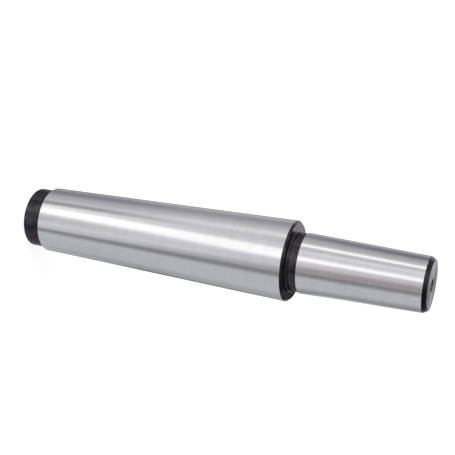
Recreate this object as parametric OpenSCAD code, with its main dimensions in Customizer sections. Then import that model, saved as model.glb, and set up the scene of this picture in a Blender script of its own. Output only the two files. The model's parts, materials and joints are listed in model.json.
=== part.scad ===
// Drill chuck arbor, turned and ground from one bar of steel.
// It stands on its rear face: the machine's spindle takes the long cone, the drill chuck takes
// the short one, and a draw bar screws into the rear end to hold the arbor in the spindle.
// The axis is Z, and the origin is the middle of the rear face.

/* [Shank cone] */
// Diameter of the shank's cone at its gauge plane
shank_gauge_d = 23.825; // [22:0.005:26]
// Taper of the shank's cone: growth in diameter for each unit of length
shank_taper = 0.0502; // [0.048:0.0001:0.0535]
// Height of the shank's gauge plane above the rear face
shank_gauge_l = 81; // [60:0.5:110]
// Length of the shank's cone above its gauge plane
shank_overrun = 5; // [1:0.5:10]

/* [Rear end] */
// Length of the relieved end behind the shank's cone
relief_l = 5.8; // [3:0.1:12]
// Step from the small end of the shank's cone down to the relieved end, on the radius
relief_step = 0.9; // [0.2:0.05:1.6]
// Rounding of the rear edge
rear_edge_r = 0.6; // [0.2:0.1:1.2]
// Width of the flat ring that is left round the hole's mouth
rear_land = 0.8; // [0.3:0.1:1.1]

/* [Draw bar thread] */
// Nominal diameter of the thread
thread_d = 12; // [8:1:12]
// Pitch of the thread
thread_pitch = 1.75; // [1:0.25:2]
// Length of the thread
thread_l = 28; // [12:1:40]
// Play between the recess ahead of the thread and the thread's crest, on the radius
recess_play = 0.4; // [0.1:0.1:0.6]
// Depth from the rear face to the start of the thread's hole
recess_l = 6; // [4:0.5:10]
// Length of the tapping drill's hole beyond the thread
tap_runout = 6; // [2:0.5:12]

/* [Collar] */
// Chamfer between the shank's cone and the face of the collar
collar_chamfer = 0.65; // [0.3:0.05:2]
// Length of the neck between the collar and the chuck's cone
neck_l = 3.15; // [1.5:0.05:8]
// Step from the large end of the chuck's cone down to the neck, on the radius
neck_step = 0.25; // [0.1:0.05:0.6]
// Hollow rounding at the foot of the neck
neck_fillet = 0.5; // [0.2:0.1:0.9]

/* [Chuck cone] */
// Diameter of the chuck's cone at its gauge plane
chuck_gauge_d = 17.78; // [15.5:0.005:18.5]
// Taper of the chuck's cone: loss of diameter for each unit of length
chuck_taper = 0.04995; // [0.045:0.00005:0.055]
// Length of the chuck's cone between its gauge plane and the front face
chuck_gauge_l = 32.4; // [20:0.1:50]
// Length of the chuck's cone behind its gauge plane
chuck_overrun = 5; // [1:0.5:8]
// Length of the chamfer that leads into the chuck
lead_l = 1.3; // [0.5:0.1:2.5]
// Height of the chamfer that leads into the chuck, on the radius
lead_h = 0.75; // [0.3:0.05:1.5]

/* [Centres] */
// Full angle of the two centre cones that the arbor is ground between
centre_angle = 60; // [60:5:90]
// Diameter of the front centre hole where it meets the face
centre_mouth_d = 4; // [3:0.05:6]
// Diameter of the pilot drilled beyond the front centre cone
centre_pilot_d = 2; // [1:0.1:2.5]
// Length of the pilot beyond the front centre cone
centre_pilot_l = 2; // [1:0.1:4]
// Full angle of the drills' points
drill_angle = 118; // [90:1:140]

/* [Hidden] */
$fn = 144;
steel = "silver";
black_oxide = "#2f2e32";
// Overlap that lets one body of metal run into the next, or a cut run out of a face
bite = 0.5;

// Heights above the rear face
cone_top_z = shank_gauge_l + shank_overrun;
collar_z = cone_top_z + collar_chamfer;
chuck_start_z = collar_z + neck_l;
chuck_gauge_z = chuck_start_z + chuck_overrun;
front_z = chuck_gauge_z + chuck_gauge_l;
lead_z = front_z - lead_l;

// Diameter of the shank's cone at height z
function shank_d(z) = shank_gauge_d + shank_taper * (z - shank_gauge_l);
// Diameter of the chuck's cone at height z
function chuck_d(z) = chuck_gauge_d - chuck_taper * (z - chuck_gauge_z);
// Height of a cone of full angle a between two radii
function cone_h(a, r_wide, r_narrow) = (r_wide - r_narrow) / tan(a / 2);

relief_r = shank_d(relief_l) / 2 - relief_step;
collar_r = shank_d(cone_top_z) / 2 - collar_chamfer;
neck_r = chuck_d(chuck_start_z) / 2 - neck_step;

rear_mouth_r = relief_r - rear_edge_r - rear_land;
recess_r = thread_d / 2 + recess_play;
core_r = (thread_d - thread_pitch) / 2;
core_z = recess_l + cone_h(drill_angle, recess_r, core_r);
core_end_z = recess_l + thread_l + tap_runout;

// Relieved rear end, smaller than the cone so that a drift or spindle nose can't burr it
module relieved_end() {
    color(black_oxide)
        rotate_extrude() {
            square([relief_r - rear_edge_r, relief_l + bite]);
            translate([0, rear_edge_r])
                square([relief_r, relief_l + bite - rear_edge_r]);
            translate([relief_r - rear_edge_r, rear_edge_r])
                circle(rear_edge_r);
        }
}

// Ground cone that seats in the spindle
module shank_cone() {
    color(steel)
        translate([0, 0, relief_l])
            cylinder(h = cone_top_z - relief_l, d1 = shank_d(relief_l), d2 = shank_d(cone_top_z));
}

// Chamfer above the large end of the shank's cone, up to the face of the collar
module collar() {
    color(black_oxide)
        translate([0, 0, cone_top_z])
            cylinder(h = collar_chamfer, d1 = shank_d(cone_top_z), r2 = collar_r);
}

// Neck that lets the grinding wheel run clear, with a hollow rounding at its foot
module neck() {
    color(black_oxide) {
        translate([0, 0, collar_z - bite])
            cylinder(h = neck_l + 2 * bite, r = neck_r);
        rotate_extrude()
            difference() {
                translate([neck_r - bite, collar_z - bite])
                    square(neck_fillet + bite);
                translate([neck_r + neck_fillet, collar_z + neck_fillet])
                    circle(neck_fillet);
            }
    }
}

// Ground cone that the drill chuck is pressed on
module chuck_cone() {
    color(steel)
        translate([0, 0, chuck_start_z])
            cylinder(h = lead_z - chuck_start_z, d1 = chuck_d(chuck_start_z), d2 = chuck_d(lead_z));
}

// Chamfer that leads into the chuck, up to the front face
module lead_chamfer() {
    color(black_oxide)
        translate([0, 0, lead_z])
            cylinder(h = lead_l, d1 = chuck_d(lead_z), d2 = chuck_d(lead_z) - 2 * lead_h);
}

// Hole for the draw bar: centre cone, recess, tapping hole and the point of its drill
module draw_bar_hole() {
    mouth_l = cone_h(centre_angle, rear_mouth_r, recess_r);
    rotate_extrude()
        polygon([
            [0, -bite],
            [rear_mouth_r + bite * tan(centre_angle / 2), -bite],
            [recess_r, mouth_l],
            [recess_r, recess_l],
            [core_r, core_z],
            [core_r, core_end_z],
            [0, core_end_z + cone_h(drill_angle, core_r, 0)]
        ]);
}

// Centre hole in the front face: cone, pilot and the point of its drill
module centre_hole() {
    mouth_r = centre_mouth_d / 2;
    pilot_r = centre_pilot_d / 2;
    cone_l = cone_h(centre_angle, mouth_r, pilot_r);
    translate([0, 0, front_z])
        rotate_extrude()
            polygon([
                [0, bite],
                [mouth_r + bite * tan(centre_angle / 2), bite],
                [pilot_r, -cone_l],
                [pilot_r, -cone_l - centre_pilot_l],
                [0, -cone_l - centre_pilot_l - cone_h(drill_angle, pilot_r, 0)]
            ]);
}

module arbor() {
    difference() {
        union() {
            relieved_end();
            shank_cone();
            collar();
            neck();
            chuck_cone();
            lead_chamfer();
        }
        draw_bar_hole();
        centre_hole();
    }
}

arbor();
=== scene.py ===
"""Looks of a drill chuck arbor: one turned and ground piece of steel, in a plain pale studio.

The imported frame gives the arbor's length, its gauge places and the mouths of its holes. The piece that is
built here has the solid's own half section, with its edges broken as a grinder leaves them and with the
helix of the draw bar's thread, and it stands for the solid. Lengths are in metres, and the arbor's axis is Z.
"""
import json
import logging
import math
from collections.abc import Sequence
from dataclasses import dataclass, field
from enum import Enum

import bpy
import numpy as np
from mathutils import Matrix, Vector


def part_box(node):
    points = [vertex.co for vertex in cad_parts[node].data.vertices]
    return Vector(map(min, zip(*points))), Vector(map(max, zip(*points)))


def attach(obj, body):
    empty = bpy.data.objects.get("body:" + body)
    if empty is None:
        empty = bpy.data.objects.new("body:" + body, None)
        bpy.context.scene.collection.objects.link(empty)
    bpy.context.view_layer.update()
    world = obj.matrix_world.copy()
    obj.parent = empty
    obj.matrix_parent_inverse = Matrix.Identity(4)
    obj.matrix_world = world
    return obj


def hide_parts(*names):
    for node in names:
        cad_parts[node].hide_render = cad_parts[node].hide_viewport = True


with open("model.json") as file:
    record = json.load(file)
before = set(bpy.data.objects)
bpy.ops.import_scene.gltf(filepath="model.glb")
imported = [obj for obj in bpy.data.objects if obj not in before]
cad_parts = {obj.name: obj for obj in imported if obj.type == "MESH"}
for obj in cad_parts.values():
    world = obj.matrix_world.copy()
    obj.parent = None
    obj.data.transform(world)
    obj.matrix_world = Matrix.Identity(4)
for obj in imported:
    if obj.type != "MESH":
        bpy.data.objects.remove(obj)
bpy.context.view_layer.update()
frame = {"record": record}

LOG = logging.getLogger("arbor")
MM = 0.001

# Steps in a rounding that is large enough to be seen as one
ROUND_STEPS = 10
# Growth in radius for each unit of length: the 60 degree centre cones, the thread's 60 degree flanks and
# the drills' 118 degree points
CENTRE_SLOPE = math.tan(math.radians(60 / 2))
FLANK_SLOPE = math.tan(math.radians(60 / 2))
DRILL_SLOPE = math.tan(math.radians(118 / 2))
# Turn of the anisotropy, as a share of a full turn, that spreads reflections along the axis
ALONG_AXIS = 0.25
# Middle of a noise's range, and the finer layers of a noise that is smooth, plain or cloudy
NOISE_MIDDLE = 0.5
SMOOTH = 1.0
PLAIN = 2.0
CLOUDY = 3.0

Colour = tuple[float, float, float]
Point = tuple[float, float, float]
Span = tuple[float, float]
Band = tuple[float | None, float | None]


class Zone(Enum):
    """Which finish a stretch of the surface has. The value is its place among the mesh's materials."""

    GROUND = 0
    OXIDE = 1
    FACED = 2
    DRILLED = 3


class Column(Enum):
    """The three strips side by side that the surface is unrolled into, for textures."""

    REAR = 0
    SHANK = 1
    FRONT = 2


def mount(name: str) -> tuple[float, float]:
    """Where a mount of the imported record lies.

    Args:
        name: The mount's name in the record.

    Returns:
        Its height on the axis and its radius, in metres. The radius is 0 where the record has none.
    """
    found = next(m for m in frame["record"]["mounts"] if m["name"] == name)
    return found["pos_m"][2], found["dims"].get("r_mm", 0.0) * MM


def added(name: str, data: bpy.types.ID) -> bpy.types.Object:
    """Adds an object to the scene.

    Args:
        name: The object's name.
        data: Its mesh, lamp or camera.

    Returns:
        The object.
    """
    made = bpy.data.objects.new(name, data)
    bpy.context.scene.collection.objects.link(made)
    return made


# Shader expressions


class Graph:
    """The node tree of one material or world, and the one way to add a node to it."""

    def __init__(self, owner: bpy.types.Material | bpy.types.World) -> None:
        """Takes the owner's tree and empties it."""
        owner.use_nodes = True
        self.tree = owner.node_tree
        self.tree.nodes.clear()

    def node(
        self,
        kind: str,
        sockets: dict[str | int, object] | None = None,
        settings: dict[str, object] | None = None,
        output: str | int = 0,
    ) -> "Expr":
        """Adds a node.

        Args:
            kind: The node's type, such as ShaderNodeMath.
            sockets: A value, or an expression to link, for each input by its name or its number.
            settings: Its settings by name, such as a Math node's operation, which are set first.
            output: The name or the number of the output that is wanted.

        Returns:
            The wanted output as an expression.
        """
        made = self.tree.nodes.new(kind)
        for name, value in (settings or {}).items():
            setattr(made, name, value)
        for key, value in (sockets or {}).items():
            if isinstance(value, Expr):
                self.tree.links.new(value.socket, made.inputs[key])
            else:
                made.inputs[key].default_value = value
        return Expr(self, made.outputs[output] if len(made.outputs) else None)

    def mix(self, factor: "Expr | float", a: "Expr | Colour", b: "Expr | Colour") -> "Expr":
        """Mixes two colours.

        Args:
            factor: 0 for the first colour, 1 for the second.
            a: The first colour.
            b: The second colour.

        Returns:
            The mixed colour.
        """
        pair = [value if isinstance(value, Expr) else (*value, 1.0) for value in (a, b)]
        # A Mix node takes its two colours in sockets 6 and 7, and gives the mixed one in socket 2
        return self.node("ShaderNodeMix", {0: factor, 6: pair[0], 7: pair[1]}, {"data_type": "RGBA"}, 2)

    def noise(self, vector: "Expr", width: float, detail: float = PLAIN) -> "Expr":
        """Noise from 0 to 1, by its lumps' width in the vector's unit and by its finer layers."""
        return self.node("ShaderNodeTexNoise", {"Vector": vector, "Scale": 1 / width, "Detail": detail})

    def drawn(self, vector: "Expr", across: float, along: float, detail: float = PLAIN) -> "Expr":
        """Noise whose lumps are drawn out round the axis or along it, as a tool leaves them.

        Args:
            vector: The point of the surface.
            across: The lumps' size across the axis.
            along: Their size along the axis.
            detail: How many finer layers are added.

        Returns:
            The noise's value, from 0 to 1.
        """
        by = (1 / across, 1 / across, 1 / along)
        stretched = self.node("ShaderNodeVectorMath", {0: vector, 1: by}, {"operation": "MULTIPLY"})
        return self.noise(stretched, 1.0, detail)

    def strips(self, value: "Expr", width: float) -> "Expr":
        """Noise from 0 to 1 that changes with one number alone, in strips of a width in its unit."""
        sockets = {"W": value, "Scale": 1 / width, "Detail": PLAIN}
        return self.node("ShaderNodeTexNoise", sockets, {"noise_dimensions": "1D"})

    def place(self) -> "Expr":
        """The point of the surface in the arbor's own frame."""
        return self.node("ShaderNodeTexCoord", output="Object")

    def parts(self, vector: "Expr") -> tuple["Expr", "Expr", "Expr"]:
        """The x, y and z of a vector."""
        node = self.node("ShaderNodeSeparateXYZ", {0: vector}).socket.node
        return tuple(Expr(self, node.outputs[i]) for i in range(3))


class Expr:
    """A socket that takes part in Python expressions, each of which adds a Math node."""

    def __init__(self, graph: Graph, socket: bpy.types.NodeSocket | None) -> None:
        """Wraps the output to read, or None for a node that has none."""
        self.graph = graph
        self.socket = socket

    def math(self, operation: str, *values: "Expr | float") -> "Expr":
        """The result of a Math node that starts with this value."""
        return self.graph.node("ShaderNodeMath", dict(enumerate((self, *values))), {"operation": operation})

    def __add__(self, other: "Expr | float") -> "Expr":
        """This value plus another."""
        return self.math("ADD", other)

    __radd__ = __add__

    def __mul__(self, other: "Expr | float") -> "Expr":
        """This value times another."""
        return self.math("MULTIPLY", other)

    __rmul__ = __mul__

    def __sub__(self, other: "Expr | float") -> "Expr":
        """This value less another."""
        return self.math("SUBTRACT", other)

    def __rsub__(self, other: float) -> "Expr":
        """A number less this value."""
        return self * -1.0 + other

    def __neg__(self) -> "Expr":
        """This value with its sign turned."""
        return self * -1.0

    def __abs__(self) -> "Expr":
        """This value without its sign."""
        return self.math("ABSOLUTE")

    def larger(self, other: "Expr | float") -> "Expr":
        """The larger of this value and another."""
        return self.math("MAXIMUM", other)

    def blend(self, other: "Expr", share: float) -> "Expr":
        """A share of this value, and of another what is left of the whole."""
        return self * share + other * (1 - share)

    def ramp(self, start: float, end: float, low: float = 0.0, high: float = 1.0) -> "Expr":
        """A smooth step from low, up to the start, to high, from the end on."""
        sockets = dict(enumerate((self, start, end, low, high)))
        return self.graph.node("ShaderNodeMapRange", sockets, {"interpolation_type": "SMOOTHSTEP"})


# Finishes


@dataclass(frozen=True)
class Finish:
    """What all the finishes share: a metal whose colour, roughness and bump come from its own nodes."""

    name: str
    roughness: float
    roughness_swing: float

    def material(self) -> bpy.types.Material:
        """Makes the finish into a material with a node tree."""
        made = bpy.data.materials.new(self.name)
        graph = Graph(made)
        graph.node("ShaderNodeOutputMaterial", {"Surface": self.shader(graph)})
        return made

    def shader(self, graph: Graph) -> Expr:
        """The finish's shader, which each finish gives."""
        raise NotImplementedError

    def uneven(self, noise: Expr) -> Expr:
        """The roughness, which swings about its mean with a noise."""
        return (noise - NOISE_MIDDLE) * self.roughness_swing + self.roughness

    @staticmethod
    def metal(graph: Graph, marks: Expr, sockets: dict[str, object]) -> Expr:
        """A metal's shader, from the height of its marks in metres and from its other sockets."""
        normal = graph.node("ShaderNodeBump", {"Strength": 1.0, "Distance": 1.0, "Height": marks})
        return graph.node("ShaderNodeBsdfPrincipled", {"Metallic": 1.0, "Normal": normal, **sockets})


@dataclass(frozen=True)
class GroundSteel(Finish):
    """Cylindrically ground steel: fine lines run round the axis, so reflections spread along it."""

    name: str = "ground_steel"
    dark: Colour = (0.640, 0.640, 0.644)
    light: Colour = (0.680, 0.680, 0.684)
    rubbed: Colour = (0.76, 0.76, 0.763)
    tone_span: Span = (0.3, 0.7)
    roughness: float = 0.165
    roughness_swing: float = 0.025
    anisotropy: float = 0.6
    line_length: float = 14 * MM
    line_width: float = 0.16 * MM
    line_depth: float = 0.00025 * MM
    line_share: float = 0.5
    pass_width: float = 2.5 * MM
    wave_width: float = 16 * MM
    wave_length: float = 53 * MM
    wave_depth: float = 0.006 * MM
    ends: tuple[float, ...] = ()
    end_width: float = 0.35 * MM
    end_shine: float = 0.6

    def shader(self, graph: Graph) -> Expr:
        """Grinding lines over a faint waviness, rubbed bright at the cones' ends.

        Args:
            graph: The material's tree.

        Returns:
            The shader.
        """
        place = graph.place()
        height = graph.parts(place)[2]
        lines = graph.drawn(place, self.line_length, self.line_width)
        passes = graph.drawn(place, self.line_length, self.pass_width)
        waves = graph.drawn(place, self.wave_width, self.wave_length, SMOOTH)
        tone = lines.blend(passes, self.line_share)
        colour = graph.mix(tone.ramp(*self.tone_span), self.dark, self.light)
        for end in self.ends:
            shine = abs(height - end).ramp(0.0, self.end_width, self.end_shine, 0.0)
            colour = graph.mix(shine, colour, self.rubbed)
        sockets = {
            "Base Color": colour,
            "Roughness": self.uneven(tone),
            "Anisotropic": self.anisotropy,
            "Anisotropic Rotation": ALONG_AXIS,
        }
        return self.metal(graph, lines * self.line_depth + waves * self.wave_depth, sockets)


@dataclass(frozen=True)
class BlackOxide(Finish):
    """Black oxide over turned steel: a dark satin skin, a little brown where it is worn and thin.

    It gets thinner from the rear end to the front, and it is rougher on the faced ring. A painted-shade
    border is a height at which shade is painted into the skin's colour, darkest there, with how far from
    there its tone is full again.
    """

    name: str = "black_oxide"
    deep: Colour = (0.024, 0.0225, 0.028)
    full: Colour = (0.0628, 0.062, 0.068)
    brown: Colour = (0.074, 0.059, 0.061)
    edge_tint: Colour = (0.81, 0.78, 0.84)
    metallic: float = 0.9
    tone_span: Span = (0.3, 0.72)
    roughness: float = 0.155
    roughness_swing: float = 0.06
    face_height: float = 0.0
    face_reach: float = 0.15 * MM
    face_roughness: float = 0.03
    mark_length: float = 33 * MM
    mark_width: float = 0.28 * MM
    mark_depth: float = 0.0010 * MM
    mark_share: float = 0.28
    cloud_width: float = 2.4 * MM
    worn_width: float = 8 * MM
    worn_span: Span = (0.5, 0.7)
    worn_share: float = 0.6
    thin_from: float = 20 * MM
    thin_to: float = 127 * MM
    thin_share: float = 0.45
    painted_shade_borders: tuple[tuple[float, float], ...] = ()
    painted_shade_tone: float = 0.15

    def shader(self, graph: Graph) -> Expr:
        """Turning marks under a cloudy dark skin, with shade painted into its colour at its steps to ground
        metal and on the lead chamfer.

        Args:
            graph: The material's tree.

        Returns:
            The shader.
        """
        place = graph.place()
        height = graph.parts(place)[2]
        marks = graph.drawn(place, self.mark_length, self.mark_width, SMOOTH)
        clouds = graph.noise(place, self.cloud_width, CLOUDY)
        worn = graph.noise(place, self.worn_width, SMOOTH).ramp(*self.worn_span) * self.worn_share
        worn = worn + height.ramp(self.thin_from, self.thin_to, 0.0, self.thin_share)
        tone = marks.blend(clouds, self.mark_share).ramp(*self.tone_span)
        # Painted shade: the skin's tone is darkened round each border height, at the steps to ground metal
        # and on the lead chamfer
        for border, width in self.painted_shade_borders:
            tone = tone * abs(height - border).ramp(0.0, width, self.painted_shade_tone, 1.0)
        rough = abs(height - self.face_height).ramp(0.0, self.face_reach, self.face_roughness, 0.0)
        sockets = {
            "Base Color": graph.mix(tone, self.deep, graph.mix(worn, self.full, self.brown)),
            "Metallic": self.metallic,
            "Specular Tint": (*self.edge_tint, 1.0),
            "Roughness": self.uneven(clouds) + rough,
        }
        return self.metal(graph, marks * self.mark_depth, sockets)


@dataclass(frozen=True)
class FacedEnd(Finish):
    """The faced front end: dull steel with rings from the tool, and the black skin creeping in at its rim.

    A nick is an angle in radians round the axis, from -Y towards -X, with how deep the skin reaches in there
    and how many radians to each side.
    """

    name: str = "faced_end"
    dull: Colour = (0.245, 0.240, 0.252)
    steel: Colour = (0.470, 0.463, 0.480)
    skin: Colour = (0.034, 0.032, 0.037)
    tone_span: Span = (0.32, 0.68)
    roughness: float = 0.40
    roughness_swing: float = 0.16
    anisotropy: float = 0.6
    rim: float = 7.36 * MM
    least_creep: float = 0.10 * MM
    creep: float = 0.5 * MM
    creep_width: float = 1.1 * MM
    creep_detail: float = 1.2
    creep_span: Span = (0.38, 0.7)
    edge: float = 0.13 * MM
    nicks: tuple[tuple[float, float, float], ...] = (
        (-0.57, 1.1 * MM, 0.17),
        (0.0, 0.22 * MM, 0.75),
        (1.08, 0.4 * MM, 0.16),
        (-2.9, 0.6 * MM, 0.2),
    )
    mouth: float = 2.0 * MM
    stain: float = 0.85
    stain_inside: float = 0.3 * MM
    stain_outside: float = 0.5 * MM
    ring_width: float = 0.22 * MM
    ring_depth: float = 0.0015 * MM
    ring_share: float = 0.45
    smear_width: float = 2.4 * MM

    def shader(self, graph: Graph) -> Expr:
        """Rings round the axis, smears, an uneven black rim with a few nicks, and a stained centre hole.

        Args:
            graph: The material's tree.

        Returns:
            The shader.
        """
        place = graph.place()
        x, y, _ = graph.parts(place)
        radius = (x * x + y * y).math("SQRT")
        turn = (-x).math("ARCTAN2", -y)
        rings = graph.strips(radius, self.ring_width)
        smears = graph.noise(place, self.smear_width, CLOUDY)
        creep = graph.noise(place, self.creep_width, self.creep_detail).ramp(*self.creep_span)
        creep = creep * self.creep + self.least_creep
        for angle, depth, width in self.nicks:
            creep = creep + abs(turn - angle).ramp(0.0, width, depth, 0.0)
        skin = (radius - (self.rim - creep)).ramp(-self.edge, self.edge)
        stain = radius.ramp(self.mouth - self.stain_inside, self.mouth + self.stain_outside, self.stain, 0.0)
        tone = rings.blend(smears, self.ring_share).ramp(*self.tone_span)
        sockets = {
            "Base Color": graph.mix(skin.larger(stain), graph.mix(tone, self.dull, self.steel), self.skin),
            "Metallic": 1.0 - skin * (1 - BlackOxide.metallic),
            "Roughness": self.uneven(smears),
            "Anisotropic": self.anisotropy,
            "Anisotropic Rotation": ALONG_AXIS,
        }
        return self.metal(graph, rings * self.ring_depth, sockets)


@dataclass(frozen=True)
class DrilledSteel(Finish):
    """Drilled and tapped steel, duller than the ground cones and a little oily in its hollows."""

    name: str = "drilled_steel"
    hollow: Colour = (0.16, 0.155, 0.15)
    crest: Colour = (0.40, 0.40, 0.40)
    tone_span: Span = (0.3, 0.68)
    roughness: float = 0.36
    roughness_swing: float = 0.2
    mark_length: float = 17 * MM
    mark_width: float = 0.2 * MM
    mark_depth: float = 0.0015 * MM
    mark_share: float = 0.5
    oil_width: float = 3.8 * MM

    def shader(self, graph: Graph) -> Expr:
        """Drill marks round the axis, with darker patches.

        Args:
            graph: The material's tree.

        Returns:
            The shader.
        """
        place = graph.place()
        marks = graph.drawn(place, self.mark_length, self.mark_width)
        oil = graph.noise(place, self.oil_width)
        tone = marks.blend(oil, self.mark_share).ramp(*self.tone_span)
        sockets = {"Base Color": graph.mix(tone, self.hollow, self.crest), "Roughness": self.uneven(oil)}
        return self.metal(graph, marks * self.mark_depth, sockets)


# The half section


@dataclass(frozen=True)
class Corner:
    """A corner of the half section, with the finish of the stretch from it to the next corner."""

    radius: float
    height: float
    zone: Zone
    easing: float = 0.0
    steps: int = 4


@dataclass
class Row:
    """A ring of vertices: radius and height at each step of the turn, and the finish of the band after it."""

    radius: np.ndarray
    height: np.ndarray
    zone: Zone
    column: Column = Column.REAR


@dataclass
class DrawBarHole:
    """The hole in the rear end: drill point, tapping hole, thread, recess and the mouth's centre cone."""

    core_radius: float
    mouth_radius: float
    thread_radius: float = 6.0 * MM
    pitch: float = 1.75 * MM
    recess_depth: float = 6.0 * MM
    thread_length: float = 28.0 * MM
    runout: float = 6.0 * MM
    recess_play: float = 0.4 * MM
    root_share: float = 1 / 8
    fade: float = 1.2 * MM
    point_easing: float = 0.2 * MM
    throat_easing: float = 0.15 * MM
    lip_easing: float = 0.1 * MM

    @property
    def recess_radius(self) -> float:
        """Radius of the plain recess ahead of the thread."""
        return self.thread_radius + self.recess_play

    @property
    def thread_end(self) -> float:
        """Height at which the thread ends."""
        return self.recess_depth + self.thread_length

    @property
    def thread_depth(self) -> float:
        """Height of the thread's profile, on the radius."""
        return self.thread_radius - self.core_radius

    @property
    def flank_share(self) -> float:
        """Share of the pitch that one flank takes up."""
        return self.thread_depth * FLANK_SLOPE / self.pitch

    def bottom(self) -> list[Corner]:
        """The wall beyond the thread.

        Returns:
            The corners from the drill's point to the thread's end.
        """
        wall_end = self.thread_end + self.runout
        tip = wall_end + self.core_radius / DRILL_SLOPE
        return [
            Corner(0.0, tip, Zone.DRILLED),
            Corner(self.core_radius, wall_end, Zone.DRILLED, self.point_easing),
            Corner(self.core_radius, self.thread_end, Zone.DRILLED),
        ]

    def mouth(self) -> list[Corner]:
        """The recess and the centre cone.

        Returns:
            The corners from the bottom of the recess to the rear face.
        """
        cone_height = (self.mouth_radius - self.recess_radius) / CENTRE_SLOPE
        return [
            Corner(self.recess_radius, self.recess_depth, Zone.DRILLED),
            Corner(self.recess_radius, cone_height, Zone.DRILLED, self.throat_easing),
            Corner(self.mouth_radius, 0.0, Zone.OXIDE, self.lip_easing),
        ]

    def groove(self, phase: float) -> float:
        """The groove's depth at a place from 0 to 1 along one pitch, where its root starts at 0."""
        beyond = min(max(phase - self.root_share, 0.0), 1.0 - phase)
        return self.thread_depth * max(1.0 - beyond / self.flank_share, 0.0)

    def phases(self) -> list[float]:
        """Where one pitch's rows lie, from 0 to 1: at the profile's corners and half way up its flanks."""
        root, flank = self.root_share, self.flank_share
        return [0.0, root, root + flank / 2, root + flank, 1.0 - flank, 1.0 - flank / 2]

    def thread(self, turn: np.ndarray) -> list[Row]:
        """The rows of the right-hand thread, from its end down to the recess.

        Args:
            turn: The share of a full turn at each column of vertices, from 0 to 1.

        Returns:
            Rows that follow the helix. They run together where the thread stops.
        """
        turns = math.ceil(self.thread_length / self.pitch)
        rows = []
        # One lap more at the recess, because each row climbs by a pitch over the full turn
        for lap in range(turns, -2, -1):
            for phase in reversed(self.phases()):
                height = self.recess_depth + self.pitch * (lap + phase + turn)
                height = np.clip(height, self.recess_depth, self.thread_end)
                left = np.clip((self.thread_end - height) / self.fade, 0.0, 1.0)
                cut = self.core_radius + self.groove(phase) * left
                cone = self.recess_radius - (height - self.recess_depth) * DRILL_SLOPE
                rows.append(Row(np.maximum(cut, cone), height, Zone.DRILLED))
        return rows


@dataclass
class RelievedEnd:
    """The plain black end behind the shank's cone, with its rounded rear edge."""

    radius: float
    length: float = 5.8 * MM
    rear_rounding: float = 0.6 * MM
    foot_easing: float = 0.12 * MM

    def corners(self) -> list[Corner]:
        """The corners from the rear edge to the foot of the step."""
        return [
            Corner(self.radius, 0.0, Zone.OXIDE, self.rear_rounding, ROUND_STEPS),
            Corner(self.radius, self.length, Zone.OXIDE, self.foot_easing),
        ]


@dataclass
class GroundCone:
    """A ground cone, which grows or shrinks along the axis by its taper."""

    gauge_height: float
    gauge_radius: float
    taper: float
    start: float
    end: float
    edge_easing: float = 0.1 * MM

    def radius_at(self, height: float) -> float:
        """The cone's radius at a height above the rear face."""
        return self.gauge_radius + self.taper / 2 * (height - self.gauge_height)

    def corners(self) -> list[Corner]:
        """The cone's two ends."""
        return [
            Corner(self.radius_at(self.start), self.start, Zone.GROUND, self.edge_easing),
            Corner(self.radius_at(self.end), self.end, Zone.OXIDE, self.edge_easing),
        ]


@dataclass
class Collar:
    """The black chamfer and ring face above the shank's large end."""

    outer_radius: float
    base: float
    chamfer: float = 0.65 * MM
    edge_easing: float = 0.1 * MM

    @property
    def face(self) -> float:
        """Height of the ring face."""
        return self.base + self.chamfer

    def corners(self) -> list[Corner]:
        """The chamfer's upper corner, from which the ring face runs in to the neck."""
        return [Corner(self.outer_radius - self.chamfer, self.face, Zone.OXIDE, self.edge_easing)]


@dataclass
class Neck:
    """The short black neck that the grinding wheel runs clear in."""

    radius: float
    foot: float
    top: float
    fillet: float = 0.5 * MM
    top_easing: float = 0.06 * MM

    def corners(self) -> list[Corner]:
        """The hollow rounding at the foot, and the corner under the chuck's cone."""
        return [
            Corner(self.radius, self.foot, Zone.OXIDE, self.fillet, ROUND_STEPS),
            Corner(self.radius, self.top, Zone.OXIDE, self.top_easing),
        ]


@dataclass
class FrontEnd:
    """The lead chamfer's rim, the faced front end and its centre hole."""

    face: float
    face_radius: float
    mouth_radius: float
    pilot_radius: float = 1.0 * MM
    pilot_length: float = 2.0 * MM
    edge_easing: float = 0.12 * MM
    mouth_easing: float = 0.06 * MM
    pilot_easing: float = 0.05 * MM

    def corners(self) -> list[Corner]:
        """The front face and the centre hole.

        Returns:
            The corners from the face's rim to the point of the pilot drill.
        """
        cone_foot = self.face - (self.mouth_radius - self.pilot_radius) / CENTRE_SLOPE
        pilot_foot = cone_foot - self.pilot_length
        return [
            Corner(self.face_radius, self.face, Zone.FACED, self.edge_easing),
            Corner(self.mouth_radius, self.face, Zone.FACED, self.mouth_easing),
            Corner(self.pilot_radius, cone_foot, Zone.FACED, self.pilot_easing),
            Corner(self.pilot_radius, pilot_foot, Zone.FACED),
            Corner(0.0, pilot_foot - self.pilot_radius / DRILL_SLOPE, Zone.FACED),
        ]


# From the half section to a mesh


def eased(before: Corner, here: Corner, after: Corner) -> list[Corner]:
    """Rounds one corner of the half section.

    Args:
        before: The corner before it.
        here: The corner to round.
        after: The corner after it.

    Returns:
        The points that take the corner's place. The finish changes half way round.
    """
    spot = Vector((here.radius, here.height))
    back = (Vector((before.radius, before.height)) - spot).normalized()
    ahead = (Vector((after.radius, after.height)) - spot).normalized()
    half = back.angle(ahead) / 2
    centre = spot + (back + ahead).normalized() * here.easing / math.sin(half)
    start = spot + back * here.easing / math.tan(half) - centre
    end = spot + ahead * here.easing / math.tan(half) - centre
    sweep = start.angle(end)
    points = []
    for step in range(here.steps + 1):
        share = step / here.steps
        arm = (start * math.sin((1 - share) * sweep) + end * math.sin(share * sweep)) / math.sin(sweep)
        zone = before.zone if step < here.steps / 2 else here.zone
        points.append(Corner(centre.x + arm.x, centre.y + arm.y, zone))
    return points


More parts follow.
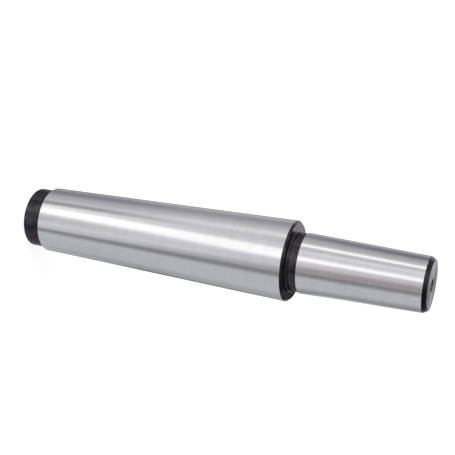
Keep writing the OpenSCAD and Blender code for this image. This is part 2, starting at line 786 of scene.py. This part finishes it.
def outline(corners: Sequence[Corner], longest: float) -> list[Corner]:
    """Rounds the corners that have an easing, and divides the long stretches.

    Args:
        corners: The corners in order.
        longest: The longest stretch that is left undivided.

    Returns:
        The points of the half section in order.
    """
    points: list[Corner] = []
    for i, here in enumerate(corners):
        ends = i in (0, len(corners) - 1)
        rounded = [here] if ends or not here.easing else eased(corners[i - 1], here, corners[i + 1])
        if points:
            last = points[-1]
            gap = math.dist((last.radius, last.height), (rounded[0].radius, rounded[0].height))
            count = math.ceil(gap / longest)
            for step in range(1, count):
                share = step / count
                radius = last.radius + (rounded[0].radius - last.radius) * share
                height = last.height + (rounded[0].height - last.height) * share
                points.append(Corner(radius, height, last.zone))
        points.extend(rounded)
    return points


@dataclass
class Lathe:
    """Turns rows of vertices round the axis into one closed mesh, with normals and a texture map."""

    columns: int = 256
    longest: float = 5 * MM
    weld: float = 1e-7
    strip_gap: float = 0.012

    @property
    def turn(self) -> np.ndarray:
        """The share of a full turn at each column. The last column closes on the first."""
        return np.linspace(0.0, 1.0, self.columns + 1)

    def plain(self, corners: Sequence[Corner]) -> list[Row]:
        """Rows for a stretch that is the same all round, one for each point of its outline."""
        ones = np.ones(self.columns + 1)
        return [Row(ones * p.radius, ones * p.height, p.zone) for p in outline(corners, self.longest)]

    def mesh(self, name: str, rows: Sequence[Row]) -> bpy.types.Mesh:
        """Builds the mesh.

        Args:
            name: The mesh's name.
            rows: The rows in order, from one end of the half section to the other.

        Returns:
            A mesh whose faces look outwards.
        """
        angle = self.turn * math.tau
        radius = np.array([row.radius for row in rows])
        height = np.array([row.height for row in rows])
        points = np.stack([radius * np.cos(angle), radius * np.sin(angle), height], -1)
        keys = np.round(points / self.weld).astype(np.int64).reshape(-1, 3)
        _, first, merged = np.unique(keys, axis=0, return_index=True, return_inverse=True)
        place = points.reshape(-1, 3)[first]
        number = merged.reshape(radius.shape)
        across, along = self._map(rows, points)

        faces, corners_uv, zones = [], [], []
        for band, row in enumerate(rows[:-1]):
            for column in range(self.columns):
                ring = [(band, column), (band, column + 1), (band + 1, column + 1), (band + 1, column)]
                loop = [(number[i, j], across[band, j], along[band, i - band, j]) for i, j in ring]
                kept = [corner for k, corner in enumerate(loop) if corner[0] != loop[k - 1][0]]
                # Where rows run together, less than a triangle may be left
                if len({corner[0] for corner in kept}) < 3:
                    continue
                faces.append([int(corner[0]) for corner in kept])
                corners_uv.extend((corner[1], corner[2]) for corner in kept)
                zones.append(row.zone.value)

        made = bpy.data.meshes.new(name)
        made.from_pydata(place.tolist(), [], faces)
        made.polygons.foreach_set("material_index", zones)
        made.polygons.foreach_set("use_smooth", [True] * len(faces))
        layer = made.uv_layers.new(name="OFBake")
        layer.data.foreach_set("uv", np.array(corners_uv, np.float32).ravel())
        made.validate()
        self._smooth(made)
        return made

    def _map(self, rows: Sequence[Row], points: np.ndarray) -> tuple[np.ndarray, np.ndarray]:
        """Unrolls the surface into strips side by side.

        Args:
            rows: The rows in order.
            points: The place of each vertex, by row and column.

        Returns:
            Where each vertex lies across the map, by band and column, and where it lies along the map, by
            band, end of the band and column.
        """
        steps = np.linalg.norm(np.diff(points, axis=0), axis=2)
        share = 1 / len(Column)
        across = np.zeros((len(rows) - 1, self.columns + 1))
        along = np.zeros((len(rows) - 1, 2, self.columns + 1))
        longest = max(steps[self._bands(rows, column)].sum(0).max() for column in Column)
        for column in Column:
            bands = self._bands(rows, column)
            run = np.vstack([np.zeros(self.columns + 1), np.cumsum(steps[bands], 0)]) / longest
            run = self.strip_gap + run * (1 - 2 * self.strip_gap)
            along[bands, 0] = run[:-1]
            along[bands, 1] = run[1:]
            across[bands] = share * column.value + self.strip_gap + self.turn * (share - 2 * self.strip_gap)
        return across, along

    @staticmethod
    def _bands(rows: Sequence[Row], column: Column) -> list[int]:
        """The numbers of the bands that lie in one strip of the map."""
        return [i for i, row in enumerate(rows[:-1]) if row.column is column]

    @staticmethod
    def _smooth(made: bpy.types.Mesh) -> None:
        """Gives each vertex its faces' mean normal by area, so that small bevels don't bend large faces.

        Args:
            made: The mesh to shade.
        """
        total = np.zeros((len(made.vertices), 3))
        for face in made.polygons:
            push = np.array(face.normal) * face.area
            for vertex in face.vertices:
                total[vertex] += push
        total /= np.linalg.norm(total, axis=1, keepdims=True)
        made.normals_split_custom_set_from_vertices(total.tolist())


@dataclass
class Arbor:
    """The arbor: its sub-parts in order along the half section, as one piece."""

    shank: GroundCone
    chuck: GroundCone
    hole: DrawBarHole
    end: RelievedEnd
    collar: Collar
    neck: Neck
    front: FrontEnd
    lathe: Lathe = field(default_factory=Lathe)
    name: str = "arbor_dressed"

    @classmethod
    def from_frame(cls) -> "Arbor":
        """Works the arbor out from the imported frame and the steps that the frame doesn't give.

        Returns:
            The arbor.
        """
        shank_taper = 0.0502
        chuck_taper = -0.04995
        overrun = 5 * MM
        relief_step = 0.9 * MM
        neck_step = 0.25 * MM
        lead_length = 1.3 * MM
        lead_height = 0.75 * MM

        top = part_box("arbor")[1].z
        height, radius = mount("spindle_cone")
        shank = GroundCone(height, radius, shank_taper, RelievedEnd.length, height + overrun)
        height, radius = mount("chuck_cone")
        chuck = GroundCone(height, radius, chuck_taper, height - overrun, top - lead_length)
        collar = Collar(shank.radius_at(shank.end), shank.end)
        return cls(
            shank=shank,
            chuck=chuck,
            hole=DrawBarHole(mount("draw_bar_thread")[1], mount("rear_centre")[1]),
            end=RelievedEnd(shank.radius_at(shank.start) - relief_step),
            collar=collar,
            neck=Neck(chuck.radius_at(chuck.start) - neck_step, collar.face, chuck.start),
            front=FrontEnd(top, chuck.radius_at(chuck.end) - lead_height, mount("front_centre")[1]),
        )

    def rows(self) -> list[Row]:
        """The whole surface, from the point of the tapping drill to that of the pilot drill.

        Returns:
            Its rows, each with its finish and its strip of the texture map.
        """
        outside = [
            *self.hole.mouth(),
            *self.end.corners(),
            *self.shank.corners(),
            *self.collar.corners(),
            *self.neck.corners(),
            *self.chuck.corners(),
            *self.front.corners(),
        ]
        rows = self.lathe.plain(self.hole.bottom())[:-1]
        rows += self.hole.thread(self.lathe.turn)
        rows += self.lathe.plain(outside)[1:]
        column = Column.REAR
        for row in rows:
            if row.zone is Zone.GROUND and column is Column.REAR:
                column = Column.SHANK
            elif row.zone is Zone.OXIDE and column is Column.SHANK:
                column = Column.FRONT
            row.column = column
        return rows

    def finishes(self) -> list[Finish]:
        """The finishes, in the order of the zones.

        Returns:
            One finish for each zone, fitted to this arbor's heights and radii.
        """
        # Heights round which shade is painted into the black skin's colour: the steps to ground metal and the
        # lead chamfer's middle
        step_shade = 0.45 * MM
        lead_shade = 1.3 * MM
        lead_middle = (self.chuck.end + self.front.face) / 2
        painted_shade_borders = ((self.end.length, step_shade), (self.neck.top, step_shade), (lead_middle, lead_shade))
        return [
            GroundSteel(ends=(self.shank.start, self.shank.end, self.chuck.start, self.chuck.end)),
            BlackOxide(painted_shade_borders=painted_shade_borders, face_height=self.collar.face),
            FacedEnd(rim=self.front.face_radius, mouth=self.front.mouth_radius),
            DrilledSteel(),
        ]

    def build(self) -> bpy.types.Object:
        """Builds, dresses and mounts the arbor.

        Returns:
            The piece, which stands for the solid.
        """
        piece = added(self.name, self.lathe.mesh(self.name, self.rows()))
        for finish in self.finishes():
            piece.data.materials.append(finish.material())
        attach(piece, "root")
        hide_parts("arbor")
        return piece


# Studio


# Elevations in degrees that part what the metal mirrors in the photograph's view: the shank's cone mirrors
# what lies below the first, the chuck's cone what lies between the first two, and the faces what lies higher
COLLAR_LINE = -15.5
HORIZON = 0.0
SKYLINE = 12.0

# Bands that they make, each with its lowest and its highest elevation, or None where it is open
BELOW_COLLAR: Band = (None, COLLAR_LINE)
CHUCK_BAND: Band = (COLLAR_LINE, HORIZON)
BELOW_SKY: Band = (None, SKYLINE)
ABOVE_SKYLINE: Band = (SKYLINE, None)


@dataclass(frozen=True)
class Card:
    """A light card or a dark flag that stands round the arbor and shows only in its metal.

    Angles are in degrees. The azimuth is 0 on the camera's side and grows towards the picture's top. The
    width runs to the middle of the soft edges. The level is added to the wall's, and a flag's is below 0. The
    band is the range of elevation, and a lean is how far the azimuth moves for each degree of elevation.
    """

    name: str
    azimuth: float
    width: float
    softness: float
    level: float
    band: Band
    lean: float = 0.0


# Cards over the arbor's upper side in the photograph
UPPER_CARDS = (
    Card("fill", 45, 78, 20, 0.22, BELOW_SKY),
    Card("fill, rear", 72, 32, 16, -0.13, (None, -26)),
    Card("fill, middle", 98, 44, 30, 0.09, (-26, COLLAR_LINE)),
    Card("slit, rear", 61, 13, 6, -0.36, (None, -27.5)),
    Card("slit, middle", 52, 16, 10, -0.09, (-24.5, COLLAR_LINE)),
    Card("slit, front", 54, 10, 6, -0.12, CHUCK_BAND),
    Card("pale patch", 64, 28, 16, 0.18, (-26, -20.5)),
    Card("fill, front edge", 84, 16, 10, -0.08, CHUCK_BAND),
    Card("pale patch, front", 108, 24, 16, 0.12, (COLLAR_LINE, -11)),
    Card("flag", 117, 34, 26, -0.22, BELOW_SKY),
    Card("flag, rear", 138, 44, 28, -0.13, (None, -25.5)),
    Card("flag, front", 124, 40, 28, -0.15, CHUCK_BAND),
)

# Cards on the camera's side, which make the bright bands
KEY_CARDS = (
    Card("key", 15.5, 28, 5, 0.67, BELOW_COLLAR, lean=-1.1),
    Card("key, low edge", 2, 14, 10, 0.10, (-28.5, COLLAR_LINE)),
    Card("key, black end", 30, 20, 10, 0.85, (-31.5, -29.2)),
    Card("key, rear edge", 39, 14, 10, -0.38, (None, -31.2)),
    Card("key, foot", 47, 10, 5, 0.33, (None, -27.5)),
    Card("key, front", 17.5, 13, 4, 0.50, CHUCK_BAND, lean=-0.5),
    Card("strip, front", 72, 10, 6, 0.75, (-17, HORIZON), lean=-0.5),
    Card("key, front, low edge", 2, 10, 8, -0.08, CHUCK_BAND),
    Card("thread, front", 40, 10, 6, 0.19, CHUCK_BAND),
    Card("thread, rear", -18, 8, 6, 0.06, (None, -22)),
    Card("low fill", -7, 34, 18, 0.22, BELOW_SKY, lean=1.2),
)

# Cards under the arbor's lower side, down to its lower edge
LOWER_CARDS = (
    Card("flag, front", -26, 24, 15, -0.20, CHUCK_BAND),
    Card("flag, soft side", -32, 16, 12, -0.10, (-28.5, COLLAR_LINE)),
    Card("flag", -45, 14, 7, -0.28, BELOW_SKY),
    Card("flag, front, low side", -56, 9, 7, -0.09, CHUCK_BAND),
    Card("ground", -84, 60, 12, 0.07, BELOW_SKY),
    Card("ground, rear", -106, 36, 20, -0.07, (None, -26.5)),
    Card("under flag", -135, 34, 26, -0.10, (None, -23.5)),
    Card("under flag, middle", -146, 60, 36, -0.12, (-26.2, -23.5)),
    Card("under flag, collar end", -134, 34, 24, -0.07, (-22, COLLAR_LINE)),
    Card("under flag, front", -124, 40, 30, -0.13, CHUCK_BAND),
    Card("under flag, front edge", -135, 34, 26, -0.10, CHUCK_BAND),
    Card("under glare, black end", -150, 80, 50, 0.22, (None, -31)),
    Card("under glare, rear", -172, 64, 16, 0.18, (None, -25)),
    Card("under glare", -174, 60, 16, 0.22, (-18, HORIZON)),
    Card("under flag, neck", -158, 56, 20, -0.24, (-16.2, -14.6)),
    Card("under patch", -162, 48, 12, 0.34, (-13.8, -11)),
)

# Cards behind the arbor, which its edges mirror and which light it in views from behind
BACK_CARDS = (
    Card("back, lower side", -174, 56, 32, -0.34, BELOW_COLLAR),
    Card("back, lower side, front", -168, 54, 20, -0.32, CHUCK_BAND),
    Card("back, upper side", 176, 44, 26, -0.30, (None, HORIZON)),
    Card("back, upper side, rear", 176, 28, 8, -0.18, (None, -26)),
    Card("back light, upper half", 180, 14, 8, 0.68, (None, -5)),
    Card("back light, lower half", -180, 14, 8, 0.75, (None, -5)),
)

# Cards that stand over the horizon, for the faces and the chamfers
SKY_CARDS = (
    Card("horizon, upper side", 165, 40, 10, 0.35, (2, 10)),
    Card("horizon, lower side", -165, 40, 10, 0.12, (2, 9)),
    Card("far side", 160, 50, 10, 0.62, (9, 24)),
    Card("far flag", 158, 70, 20, -0.35, (24, 55)),
    Card("dark band", -283, 106, 16, -0.29, ABOVE_SKYLINE, lean=3.0),
    Card("dark far corner", -166, 50, 10, -0.44, (9, 34)),
    Card("dark patch, lead chamfer", -80, 100, 30, -0.16, (34, 60)),
    Card("upper side", 90, 186, 16, 0.15, ABOVE_SKYLINE),
    Card("skylight", 38, 60, 30, 0.60, (40, None)),
)


@dataclass(frozen=True)
class Studio:
    """The floor, the lamp, the white surroundings with their cards, and the camera.

    Levels are those of the light that the metal mirrors, where 1 is white. The camera's place is given by
    where the large end of the shank's cone lies in the camera's own axes, with the arbor's axis turned from
    the picture's horizontal by the yaw and the pitch.
    """

    cards: tuple[Card, ...] = (*UPPER_CARDS, *KEY_CARDS, *LOWER_CARDS, *BACK_CARDS, *SKY_CARDS)
    warm_card: Card = Card("warm card", -22, 40, 12, 1.0, CHUCK_BAND)
    lean_from: float = -20.0
    end_softness: float = 1.0
    white: float = 1.0
    ambient: float = 0.62
    wall: float = 0.60
    darkest: float = 0.06
    weave: float = 0.12
    weave_width: float = 5.0
    cool_high: Colour = (1.012, 1.0, 1.06)
    cool_low: Colour = (0.985, 1.0, 1.055)
    cool_turn: Span = (-55.0, -45.0)
    cool_dark: Colour = (1.012, 1.0, 1.09)
    dark_span: Span = (0.30, 0.55)
    warm: Colour = (1.07, 1.0, 1.04)
    neutral: Colour = (1.0, 1.0, 1.0)
    glare_span: Span = (0.8, 1.2)
    floor_size: float = 6.0
    floor_glow: float = 0.82
    floor_seen: Colour = (0.30, 0.30, 0.30)
    floor_lit: Colour = (0.8, 0.8, 0.8)
    key_power: float = 9.0
    key_size: float = 0.7
    key_place: Point = (-0.55, -0.35, 0.6)
    lens: float = 82.48
    sensor: float = 36.0
    nearest: float = 0.01
    furthest: float = 20.0
    yaw: float = math.radians(20.18)
    pitch: float = math.radians(8.90)
    seen_height: float = 86 * MM
    seen_at: Point = (19.025 * MM, -9.824 * MM, -305.667 * MM)

    @property
    def target(self) -> Vector:
        """The point of the axis that the camera's place and the lamp's aim go by."""
        return Vector((0, 0, self.seen_height))

    def build_floor(self) -> bpy.types.Object:
        """Lays a white floor that keeps a soft shadow and that the metal doesn't mirror.

        Returns:
            The floor.
        """
        half = self.floor_size / 2
        corners = [(-half, -half, 0), (half, -half, 0), (half, half, 0), (-half, half, 0)]
        mesh = bpy.data.meshes.new("floor")
        mesh.from_pydata(corners, [], [range(len(corners))])
        floor = added("floor", mesh)
        floor.visible_glossy = False
        material = bpy.data.materials.new("floor_white")
        graph = Graph(material)
        shown = self._shown(graph)
        glow = graph.node("ShaderNodeEmission", {"Strength": shown * self.floor_glow})
        white = graph.mix(shown, self.floor_lit, self.floor_seen)
        diffuse = graph.node("ShaderNodeBsdfDiffuse", {"Color": white})
        both = graph.node("ShaderNodeAddShader", {0: glow, 1: diffuse})
        graph.node("ShaderNodeOutputMaterial", {"Surface": both})
        floor.data.materials.append(material)
        return floor

    @staticmethod
    def _shown(graph: Graph) -> Expr:
        """Tells the rays that show the white ground: straight, mirrored, and through clear things.

        Args:
            graph: The tree of the world or of the floor's material.

        Returns:
            1 for those rays, 0 for the others.
        """
        straight = graph.node("ShaderNodeLightPath", output="Is Camera Ray")
        mirrored = graph.node("ShaderNodeLightPath", output="Is Glossy Ray")
        clear = graph.node("ShaderNodeLightPath", output="Is Transmission Ray")
        return straight.larger(mirrored).larger(clear)

    def build_world(self) -> None:
        """Fills the world: white all round, with the cards that stand in front of it for the metal."""
        world = bpy.data.worlds.new("studio")
        world.cycles.sampling_method = "NONE"
        bpy.context.scene.world = world
        graph = Graph(world)
        x, y, z = graph.parts(graph.node("ShaderNodeTexCoord", output="Generated"))
        azimuth = (-x).math("ARCTAN2", -y).math("DEGREES")
        elevation = z.math("ARCSINE").math("DEGREES")
        level = graph.strips(azimuth, self.weave_width) * self.weave + (self.wall - self.weave / 2)
        for card in self.cards:
            level = level + self._card(card, azimuth, elevation)
        level = level.larger(self.darkest)
        tint = graph.mix(azimuth.ramp(*self.cool_turn), self.cool_low, self.cool_high)
        tint = graph.mix(level.ramp(*self.dark_span), self.cool_dark, tint)
        tint = graph.mix(self._card(self.warm_card, azimuth, elevation), tint, self.warm)
        tint = graph.mix(level.ramp(*self.glare_span), tint, self.neutral)
        mirrored = graph.node("ShaderNodeLightPath", output="Is Glossy Ray")
        shown = self._shown(graph)
        strength = shown * (mirrored * level + (1.0 - mirrored) * self.white) + (1.0 - shown) * self.ambient
        colour = graph.mix(mirrored, self.neutral, tint)
        light = graph.node("ShaderNodeBackground", {"Color": colour, "Strength": strength})
        graph.node("ShaderNodeOutputWorld", {"Surface": light})

    def _card(self, card: Card, azimuth: Expr, elevation: Expr) -> Expr:
        """What one card adds to the level in one direction.

        Args:
            card: The card.
            azimuth: The direction's azimuth in degrees.
            elevation: Its elevation in degrees.

        Returns:
            The level that the card adds, or takes away.
        """
        off = azimuth - card.azimuth
        if card.lean:
            off = off - (elevation - self.lean_from) * card.lean
        inner = (card.width - card.softness) / 2
        level = abs(off).ramp(inner, inner + card.softness, card.level, 0.0)
        lowest, highest = card.band
        soft = self.end_softness
        if lowest is not None:
            level = level * elevation.ramp(lowest - soft, lowest + soft)
        if highest is not None:
            level = level * elevation.ramp(highest - soft, highest + soft, 1.0, 0.0)
        level.socket.node.label = card.name
        return level

    def build_key(self) -> bpy.types.Object:
        """Hangs the soft lamp that shades the floor. The metal sees the cards in its place.

        Returns:
            The lamp.
        """
        data = bpy.data.lights.new("key", "AREA")
        data.shape = "DISK"
        data.size = self.key_size
        data.energy = self.key_power
        lamp = added("key", data)
        lamp.visible_glossy = False
        place = Vector(self.key_place)
        aim = self.target - place
        lamp.matrix_world = Matrix.Translation(place) @ aim.to_track_quat("-Z", "Y").to_matrix().to_4x4()
        return lamp

    def build_camera(self) -> bpy.types.Object:
        """Sets the camera as the photograph sees the arbor: lying on its side, its front end turned to us.

        Returns:
            The camera.
        """
        flat = math.cos(self.pitch)
        axis = Vector((math.cos(self.yaw) * flat, -math.sin(self.pitch), math.sin(self.yaw) * flat))
        spot = Vector(self.seen_at)
        away = (spot - axis * spot.dot(axis)).normalized()
        rotation = Matrix((away.cross(axis), away, axis))
        data = bpy.data.cameras.new("camera")
        data.lens = self.lens
        data.sensor_width = self.sensor
        data.clip_start = self.nearest
        data.clip_end = self.furthest
        camera = added("camera", data)
        place = self.target - rotation @ spot
        camera.matrix_world = Matrix.Translation(place) @ rotation.to_4x4()
        bpy.context.scene.camera = camera
        return camera


def main() -> None:
    """Builds the studio and the arbor, and reports each."""
    logging.basicConfig(level=logging.INFO, format="%(message)s")
    bpy.context.scene.view_settings.view_transform = "Standard"
    studio = Studio()
    camera = studio.build_camera()
    LOG.info("camera at %.4f, %.4f, %.4f", *camera.matrix_world.translation)
    arbor = Arbor.from_frame()
    piece = arbor.build()
    LOG.info("%s: %d vertices, %d faces", piece.name, len(piece.data.vertices), len(piece.data.polygons))
    studio.build_world()
    for part in (studio.build_floor(), studio.build_key()):
        LOG.info("%s is in place", part.name)


if __name__ == "__main__":
    main()
